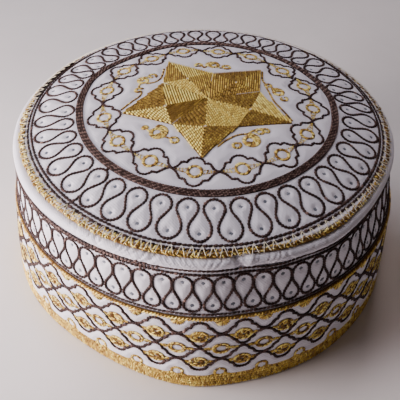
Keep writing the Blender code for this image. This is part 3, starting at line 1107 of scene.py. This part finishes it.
# Outer faces of the two bands
# distance from the middle, height
UPPER_SECTION = (
    (85.2, CORD_HEIGHT + 1.2), (84.1, 50.1), (83.1, 57.4), (82.5, 62.5), (82.25, 64.8), (82.15, 65.9),
    (82.75, 66.9), (83, 68.2), (82.5, 69.4), (81.4, 70), (79.8, 70), (77, 69.8),
)
LOWER_SECTION = ((87.7, HEM_TOP + 0.1), (87.3, 20.2), (86.7, 30.1), (85.6, CORD_HEIGHT - 0.9))
# Inner faces of the two bands
# distance from the middle, height, points in the ring
UPPER_INSIDE = (
    (77, 68.4, 1360), (79.6, 67.9, 680), (80.4, 66, 340), (80.4, 62, 340), (81.1, 57.4, 340),
    (82, 50.1, 340), (83.2, CORD_HEIGHT + 1.2, 680),
)
LOWER_INSIDE = (
    (83, 41.2, 620), (82.2, 46.6, 310), (80.6, 46.6, 310), (81.4, 40, 310), (83.4, 38.4, 310),
    (84.6, 30.1, 310), (85.2, 20.2, 310), (85.6, HEM_TOP + 0.1, 620),
)
# Below this height the band is quilted, and above it the roll lies smooth
QUILTED_TOP = 66.6
ROLL_LIFT = 0.15
# From this height, and this near the end of its section, a ring has twice as many points
FINE_FROM = 65.9
FINE_END = 6


def upper_cloth(lines, tacks, look):
    def lift(base, azimuth, z):
        flat = quilted(base, lines, tacks) if z < QUILTED_TOP else np.full(len(base), ROLL_LIFT)
        return flat + puckered(azimuth, z)

    def count_at(z, at, end):
        return 1360 if z > FINE_FROM or at > end - FINE_END else 680

    band_cloth("upper_cloth", UPPER_SECTION, 0.72, count_at, lift, UPPER_INSIDE, look, "upper_band")


def lower_cloth(lines, look):
    band_cloth("lower_cloth", LOWER_SECTION, 0.8, lambda z, at, end: 620,
               lambda base, azimuth, z: quilted(base, lines, None), LOWER_INSIDE, look, "lower_band")


def core(name, section, count, look, node, turned):
    """A plain closed ring under a dense row of stitches, dark in tone as painted shade between them.
    Its section is turned by a function.
    """
    azimuth = even_azimuths(count)
    fibre = np.vstack([woven(azimuth, radius, z + radius) for radius, z in section])
    # The core's dark tone is painted shade that shows between its stitches
    values = {"fibre": fibre, "tone": np.full(len(fibre), 0.1)}
    closed_piece(name, [turned(azimuth, radius, z) for radius, z in section], True, values, look, node)


def on_crown(shift):
    """A way to turn a section of radii and heights above the crown."""
    return lambda azimuth, radius, rise: ringed(azimuth, radius + shift(azimuth)) + [0.0, 0.0, rise]


def ring_shift(azimuth):
    return read_table(RING_DRIFT, azimuth)


# Gold and brown rings of stitches

# Stitches in each row of the hem, their length as a share of the row's, and the heights between rows
HEM_COUNT = 740
HEM_OVERLAP = 1.25
HEM_LEVELS = np.linspace(0.45, HEM_TOP + 0.25, 6)


@sewn
def hem_stitches():
    """Short upright stitches of the gold hem, in staggered rows."""
    for k, (low, high) in enumerate(zip(HEM_LEVELS, HEM_LEVELS[1:])):
        steps = np.arange(HEM_COUNT) + 0.5 * (k % 2) + jitter(0.12, HEM_COUNT)
        azimuth = -180.0 + steps * 360.0 / HEM_COUNT
        points, normals = place(wall, azimuth, 0.5 * (low + high))
        ahead = place(wall, azimuth + jitter(0.2, HEM_COUNT), high)[0] - points
        tones = uneven(0.6, 0.2, HEM_COUNT)
        length = (high - low) * HEM_OVERLAP * (1 + jitter(UNEVEN, HEM_COUNT))
        points = points + normals * 0.05
        yield stitches_at(points, ahead, normals, length, width=0.82, height=0.9, tone=tones)


def cord_stitches():
    return run_stitch(wall, full_turn(CORD_HEIGHT - 0.3, 0.5), pitch=1.4, length=2.3, width=0.85,
                      height=1.4, lift=0.45, slant=40, tone=0.6, spread=0.22)


# The brown ring: its rows, the two strands of each, and how much lighter every second stitch is
# painted, as a painted glint on the chain
RING_ROWS = (-1.1, 0, 1.1)
RING_STRANDS = (-0.22, 0.22)
RING_PAINTED_GLINT = 0.42


@sewn
def ring_stitches():
    """Three rows of chain stitch over the brown ring, each of stitches that lean together in pairs."""
    for row in RING_ROWS:
        for side in RING_STRANDS:
            path = full_turn(RING_RADIUS + row + side, 0.5)
            path[:, 1] += ring_shift(path[:, 0])
            stitches = run_stitch(ringed, path, pitch=1.15, length=1.25, width=0.44, height=0.7, lift=0.45,
                                  slant=-15 * np.sign(side), tone=0.58)
            # Every second stitch is painted lighter, a painted glint
            stitches[::2, TONE] += RING_PAINTED_GLINT
            yield stitches


# azimuth, how much lighter the edging's gold is painted there: painted light at the left,
# towards the lamps, and painted shade on the right, away from them
EDGE_LIGHT_AND_SHADE = (
    (-160, 0.15), (-130, 0.1), (-95, 0), (-55, -0.05), (-35, -0.3), (-15, -0.6), (20, -0.7),
    (60, -0.6), (120, -0.4), (150, -0.2), (172, 0.1),
)
# radius, height, slant, space between stitches, lean outwards, azimuth where the row ends
EDGING_ROWS = (
    (78.75, 72.35, 60, 1.5, 0.4, -84), (79.6, 72, 38, 0.95, 0.45, 180), (80.55, 71.35, -40, 0.9, 1, 180),
)


@sewn
def edging_stitches():
    """Small uneven gold stitches overcast along the crown's edge."""
    for radius, z, slant, pitch, lean, last in EDGING_ROWS:
        azimuth = even_azimuths(round(math.tau * radius / pitch))
        azimuth = azimuth[azimuth < last]
        count = len(azimuth)
        azimuth = azimuth + jitter(0.12, count)
        out = radius + rim_shift(azimuth) + jitter(0.28, count)
        height = z + 1.6 * back_lift(azimuth, RIM_RADIUS) + jitter(0.12, count)
        normals = unit(around(azimuth, lean, 1.0))
        heading = np.cross([0.0, 0.0, 1.0], around(azimuth, 1.0, 0.0))
        angle = np.radians(slant + jitter(18, count))[:, None]
        ahead = heading * np.cos(angle) + np.cross(normals, heading) * np.sin(angle)
        # The edging's tone carries painted light at the left and painted shade on the right
        tones = uneven(0.58 + read_table(EDGE_LIGHT_AND_SHADE, azimuth), 0.4, count)
        points = around(azimuth, out, height)
        yield stitches_at(points, ahead, normals, length=1.4, width=0.6, height=0.65, tone=tones)


EDGE_THREADS = 128
# Inner and outer ends: distances from the middle, and heights above the crown
EDGE_THREAD_ENDS = (76.9, 81.1)
EDGE_THREAD_LIFTS = [[0.75], [1.25]]
# How far the two threads of a pair lean: the inner end as degrees, the outer one in their spacing
EDGE_LEANS = (-0.45, 0.5)
EDGE_INNER_LEAN = 0.06
EDGE_OUTER_LEAN = 0.8


@sewn
def edge_threads():
    """Pale gold threads that zigzag from the crown's edge over the outer brown line."""
    for start in even_azimuths(EDGE_THREADS):
        start = start + jitter(0.12)
        for lean in EDGE_LEANS:
            outer = 360.0 / EDGE_THREADS * lean * EDGE_OUTER_LEAN
            azimuth = start + np.array([EDGE_INNER_LEAN * lean, outer])
            points, normals = place(ringed, azimuth, np.array(EDGE_THREAD_ENDS))
            points = points + normals * EDGE_THREAD_LIFTS
            ahead = points[1] - points[0]
            middle = points.mean(0)[None] + [0, 0, 0.12]
            length = np.linalg.norm(ahead)
            yield stitches_at(middle, ahead, normals[:1], length, width=0.27, height=0.3, tone=0.9)


# Directions of an eyelet's stitches, their length and tone, and how deep they lie. Their tone
# is grey thread darkened further as painted shade of the eyelet's hole.
TACK_ANGLES = (15, 60, 105, 150)
TACK_LENGTH = 2.5
TACK_SHADE_TONE = 0.38
TACK_SUNK = 0.28


def tack_stitches(surface, rings):
    """Eyelet of crossed grey stitches in the dimple of each lobe, darkened as painted shade of its hole.
    A ring is its azimuths and its level.
    """
    rows, places = [], []
    for azimuth, level in rings:
        count = len(azimuth)
        points, normals = place(surface, azimuth, level)
        places.append(points)
        up = np.broadcast_to([0.0, 0.0, 1.0], points.shape) if surface is wall else unit(points * [1, 1, 0])
        side = np.cross(normals, up)
        for middle in TACK_ANGLES:
            turn = np.radians(middle + jitter(12.0, count))[:, None]
            ahead = side * np.cos(turn) + up * np.sin(turn)
            tones = TACK_SHADE_TONE + jitter(0.22, count)
            length = TACK_LENGTH + jitter(0.3, count)
            low = points - normals * TACK_SUNK
            rows.append(stitches_at(low, ahead, normals, length, width=0.6, height=0.4, tone=tones))
    return np.vstack(rows), np.vstack(places)


# Materials

# Colours of the threads by tone, from their shadow to their gloss
# tone, colour
BROWN_TONES = (
    (0, (0.012, 0.006, 0.006)), (0.55, (0.040, 0.018, 0.015)), (0.85, (0.105, 0.060, 0.050)),
    (1, (0.27, 0.175, 0.15)),
)
GOLD_TONES = (
    (0, (0.13, 0.061, 0.019)), (0.45, (0.46, 0.287, 0.077)), (0.75, (0.77, 0.565, 0.125)),
    (1, (0.96, 0.845, 0.28)),
)
PALE_TONES = ((0, (0.55, 0.43, 0.18)), (1, (0.93, 0.88, 0.68)))
SNOW_TONES = ((0, (0.62, 0.60, 0.64)), (1, (0.82, 0.80, 0.84)))
# Grey eyelet thread, dark as painted shade of the eyelet holes
GREY_HOLE_SHADE_TONES = ((0, (0.06, 0.075, 0.10)), (1, (0.24, 0.27, 0.33)))
# Length in which a thread's fibres wind once round it, and how many show side by side
TWIST = 0.9
FIBRES = 4
# How far the tone varies along a thread, to either side
MOTTLE = 0.15


def feed(tree, node, inputs):
    """Link or set a node's sockets, which are given by name or number."""
    for key, value in inputs.items():
        if isinstance(value, bpy.types.NodeSocket):
            tree.links.new(value, node.inputs[key])
        else:
            node.inputs[key].default_value = value


def add_node(tree, kind, inputs, **settings):
    node = tree.nodes.new("ShaderNode" + kind)
    for key, value in settings.items():
        setattr(node, key, value)
    feed(tree, node, inputs)
    return node


def attribute(tree, name):
    return add_node(tree, "Attribute", {}, attribute_name=name).outputs


def maths(tree, operation, *values, **settings):
    return add_node(tree, "Math", dict(enumerate(values)), operation=operation, **settings).outputs["Value"]


def noise(tree, vector, scale, detail, roughness):
    inputs = {"Vector": vector, "Scale": scale, "Detail": detail, "Roughness": roughness}
    return add_node(tree, "TexNoise", inputs).outputs["Fac"]


def bands(tree, vector, direction, scale, distortion):
    inputs = {"Vector": vector, "Scale": scale, "Distortion": distortion, "Detail": 1.0}
    return add_node(tree, "TexWave", inputs, bands_direction=direction).outputs["Fac"]


def stretched(tree, value, low, high, top=1.0):
    """A value between 0 and top as one between low and high."""
    inputs = {"Value": value, "From Max": top, "To Min": low, "To Max": high}
    return add_node(tree, "MapRange", inputs).outputs["Result"]


def relief(tree, height, strength, distance):
    inputs = {"Height": height, "Strength": strength, "Distance": distance}
    return add_node(tree, "Bump", inputs).outputs["Normal"]


def new_material(name):
    material = bpy.data.materials.new(name)
    material.use_nodes = True
    tree = material.node_tree
    return material, tree, tree.nodes["Principled BSDF"]


def colour_ramp(tree, factor, stops):
    ramp = add_node(tree, "ValToRGB", {"Fac": factor})
    elements = ramp.color_ramp.elements
    for element, (position, colour) in zip(elements, (stops[0], stops[-1])):
        element.position, element.color = position, (*colour, 1)
    for position, colour in stops[1:-1]:
        elements.new(position).color = (*colour, 1)
    return ramp.outputs["Color"]


def cloth_look():
    """White cotton satin: a fine weave, faint slubs and a little unevenness of colour."""
    material, tree, shader = new_material("white_cloth")
    weave = attribute(tree, "weave")["Vector"]
    warp, weft = (bands(tree, weave, direction, scale=0.62, distortion=0.6) for direction in "XY")
    twill = bands(tree, weave, "DIAGONAL", scale=0.5, distortion=0.8)
    threads = maths(tree, "MULTIPLY_ADD", twill, 0.8, maths(tree, "MULTIPLY", warp, weft))
    slubs = noise(tree, weave, scale=0.35, detail=3.0, roughness=0.55)
    height = maths(tree, "MULTIPLY_ADD", slubs, 2.2, threads)
    stain = noise(tree, weave, scale=0.06, detail=4.0, roughness=0.6)
    colour = colour_ramp(tree, stain, ((0.3, (0.665, 0.65, 0.735)), (0.7, (0.75, 0.735, 0.815))))
    # Sockets 6 and 7 of this node are its two colours, and output 2 is their mix
    mixed = add_node(tree, "Mix", {}, data_type="RGBA", blend_type="MULTIPLY")
    feed(tree, mixed, {"Factor": 1.0, 6: colour, 7: stretched(tree, threads, 0.9, 1.06, top=1.5)})
    feed(tree, shader, {
        "Base Color": mixed.outputs[2], "Roughness": stretched(tree, slubs, 0.52, 0.7),
        "Normal": relief(tree, height, strength=0.55, distance=0.00012),
        "Sheen Weight": 0.25, "Sheen Roughness": 0.5,
    })
    return material, "white_cloth"


def thread_look(name, slot, tones, roughness, metallic=0.0, specular=0.5):
    """Thread of fine fibres that wind round it, in tones that change from stitch to stitch."""
    material, tree, shader = new_material(name)
    fibre = attribute(tree, "fibre")["Vector"]
    parts = add_node(tree, "SeparateXYZ", {"Vector": fibre}).outputs
    along = maths(tree, "MULTIPLY", parts["X"], math.tau / TWIST)
    wound = maths(tree, "MULTIPLY_ADD", parts["Y"], math.tau * FIBRES, along)
    fuzz = noise(tree, fibre, scale=1.7, detail=3.0, roughness=0.6)
    height = maths(tree, "ADD", maths(tree, "SINE", wound), fuzz)
    mottle = maths(tree, "MULTIPLY_ADD", fuzz, 2 * MOTTLE, -MOTTLE)
    tone = maths(tree, "ADD", attribute(tree, "tone")["Fac"], mottle, use_clamp=True)
    feed(tree, shader, {
        "Base Color": colour_ramp(tree, tone, tones),
        "Roughness": stretched(tree, fuzz, roughness - 0.08, roughness + 0.1),
        "Normal": relief(tree, height, strength=0.6, distance=0.00008),
        "Metallic": metallic, "Specular IOR Level": specular,
    })
    return material, slot


def floor_material():
    material, tree, shader = new_material("pale_floor")
    here = add_node(tree, "TexCoord", {}).outputs["Object"]
    mottle = noise(tree, here, scale=9.0, detail=5.0, roughness=0.6)
    colour = colour_ramp(tree, mottle, ((0.3, (0.72, 0.69, 0.69)), (0.7, (0.80, 0.77, 0.77))))
    normal = relief(tree, mottle, strength=0.1, distance=0.0005)
    feed(tree, shader, {"Base Color": colour, "Normal": normal, "Roughness": 0.75})
    return material


# Floor, light and camera


def add_floor():
    half = 3.0
    mesh = bpy.data.meshes.new("floor")
    corners = [(-half, -half, 0), (half, -half, 0), (half, half, 0), (-half, half, 0)]
    mesh.from_pydata(corners, [], [(0, 1, 2, 3)])
    mesh.materials.append(floor_material())
    floor = add_object("floor", mesh)


LIGHT_TARGET = Vector((0.0, 0.0, 0.04))
# name, place in metres, size in metres, energy, colour, spread in degrees
LIGHTS = (
    ("window", (-0.449, -0.150, 0.225), 0.36, 3.0, (1.0, 0.90, 0.92), 180),
    ("low_window", (-0.37, -0.11, 0.02), 0.22, 5.6, (1.0, 0.85, 0.82), 180),
    ("ceiling", (-0.36, 0.24, 0.8), 0.6, 4.4, (0.95, 0.92, 1.0), 180),
    ("room", (0.15, 0.7, 0.7), 0.3, 0.062, (1.0, 0.82, 0.78), 30),
)


def add_light(name, location, size, energy, colour, spread):
    data = bpy.data.lights.new(name, "AREA")
    data.shape = "DISK"
    data.size = size
    data.energy = energy
    data.color = colour
    data.spread = math.radians(spread)
    lamp = add_object(name, data)
    lamp.location = location
    lamp.rotation_euler = (LIGHT_TARGET - Vector(location)).to_track_quat("-Z", "Y").to_euler()


def add_world(colour, strength):
    world = bpy.data.worlds.new("studio")
    world.use_nodes = True
    background = world.node_tree.nodes["Background"]
    background.inputs["Color"].default_value = (*colour, 1.0)
    background.inputs["Strength"].default_value = strength
    bpy.context.scene.world = world


def add_camera():
    data = bpy.data.cameras.new("camera")
    data.lens = CAMERA_LENS
    data.clip_start = 0.01
    camera = add_object("camera", data)
    placed = Matrix.Translation(Vector(CAMERA_PLACE) * MM)
    for angle, axis in ((-CAMERA_YAW, "Z"), (90.0 - CAMERA_PITCH, "X"), (CAMERA_ROLL, "Z")):
        placed = placed @ Matrix.Rotation(math.radians(angle), 4, axis)
    camera.matrix_world = placed
    bpy.context.scene.camera = camera


# Sections of the rings under the hem, the cord, the brown ring and the edging
# distance from the middle, height, which for the last two is that above the crown
HEM_SECTION = (
    (87.6, 0), (87.85, 0.5), (87.95, 4), (87.7, 7.6), (87, HEM_TOP), (85.4, HEM_TOP), (84.9, 7.4),
    (84.9, 0.8), (85.3, 0),
)
CORD_SECTION = circle_path(85.6, CORD_HEIGHT, 0.6, 0, 315, 45)
RING_SECTION = [(RING_RADIUS + across, rise) for across, rise in (
    (1.6, 0.0), (1.3, 0.35), (0.0, 0.45), (-1.3, 0.35), (-1.6, 0.0),
)]
EDGING_SECTION = ((80.6, -0.7), (80.75, 0), (80.3, 0.35), (79.8, 0.25), (79.4, 0), (79.4, -0.9))


def middles(*stitches):
    return tree_of(np.vstack(stitches)[:, :3])


def build_cap():
    white = cloth_look()
    brown = thread_look("brown_thread", "brown_thread", BROWN_TONES, 0.58, specular=0.2)
    gold = thread_look("gold_thread", "gold_thread", GOLD_TONES, 0.45, metallic=0.45, specular=0.12)
    pale = thread_look("pale_gold_thread", "gold_thread", PALE_TONES, 0.45)
    snow = thread_look("white_thread", "white_cloth", SNOW_TONES, 0.5)
    grey = thread_look("grey_hole_shade_thread", "white_cloth", GREY_HOLE_SHADE_TONES, 0.5)

    loops, lines, flowers = crown_loops(), crown_lines(), flower_outlines()
    gold_rings, gold_scrolls = flower_rings(), scrolls()
    tips = crown_tips()[:-1]
    eyelets = [crown_place(tips[k::2], level) for k, level in enumerate(CROWN_TACKS)]
    tacks, dimples = tack_stitches(ringed, eyelets)
    star, ring = star_threads(), ring_stitches()
    sewn_down = middles(loops, lines, flowers, gold_rings, gold_scrolls, star, ring)
    crown_cloth(sewn_down, tree_of(dimples), white)
    stitch_piece("crown_loops", loops, brown)
    stitch_piece("crown_lines", lines, brown)
    stitch_piece("crown_flowers", flowers, brown)
    stitch_piece("flower_rings", gold_rings, gold, 0.45)
    stitch_piece("crown_scrolls", gold_scrolls, gold, 0.45)
    stitch_piece("crown_tacks", tacks, grey)

    loops, lines = wall_loops(), wall_lines()
    tips = wall_tips()[:-1]
    tacks, dimples = tack_stitches(wall, [(tips[k::2], level) for k, level in enumerate(WALL_TACKS)])
    upper_cloth(middles(loops, lines), tree_of(dimples), white)
    stitch_piece("wall_loops", loops, brown)
    stitch_piece("wall_lines", lines, brown)
    stitch_piece("wall_tacks", tacks, grey)

    lattice, motifs = lattice_lines(), lattice_gold()
    lower_cloth(middles(lattice, motifs), white)
    stitch_piece("lattice_lines", lattice, brown)
    stitch_piece("lattice_gold", motifs, gold, 0.5)

    core("hem_core", HEM_SECTION, 360, gold, "hem_binding", out_of_round)
    stitch_piece("hem_stitches", hem_stitches(), gold, 0.35)
    core("cord_core", CORD_SECTION, 360, gold, "band_cord", out_of_round)
    stitch_piece("cord_stitches", cord_stitches(), gold, 0.9)
    core("ring_core", RING_SECTION, 312, brown, "crown_ring", on_crown(ring_shift))
    stitch_piece("ring_stitches", ring, brown, 0.6)
    core("edging_core", EDGING_SECTION, 360, gold, "crown_edging", on_crown(rim_shift))
    stitch_piece("edging_stitches", edging_stitches(), gold)
    stitch_piece("edge_threads", edge_threads(), pale)

    padding = star_padding(gold)
    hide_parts("crown_star")
    stitch_piece("star_threads", star, gold, 0.65)
    stitch_piece("star_whites", star_whites(), snow)


build_cap()
add_floor()
add_world(colour=(1.0, 0.77, 0.67), strength=0.085)
for light in LIGHTS:
    add_light(*light)
add_camera()
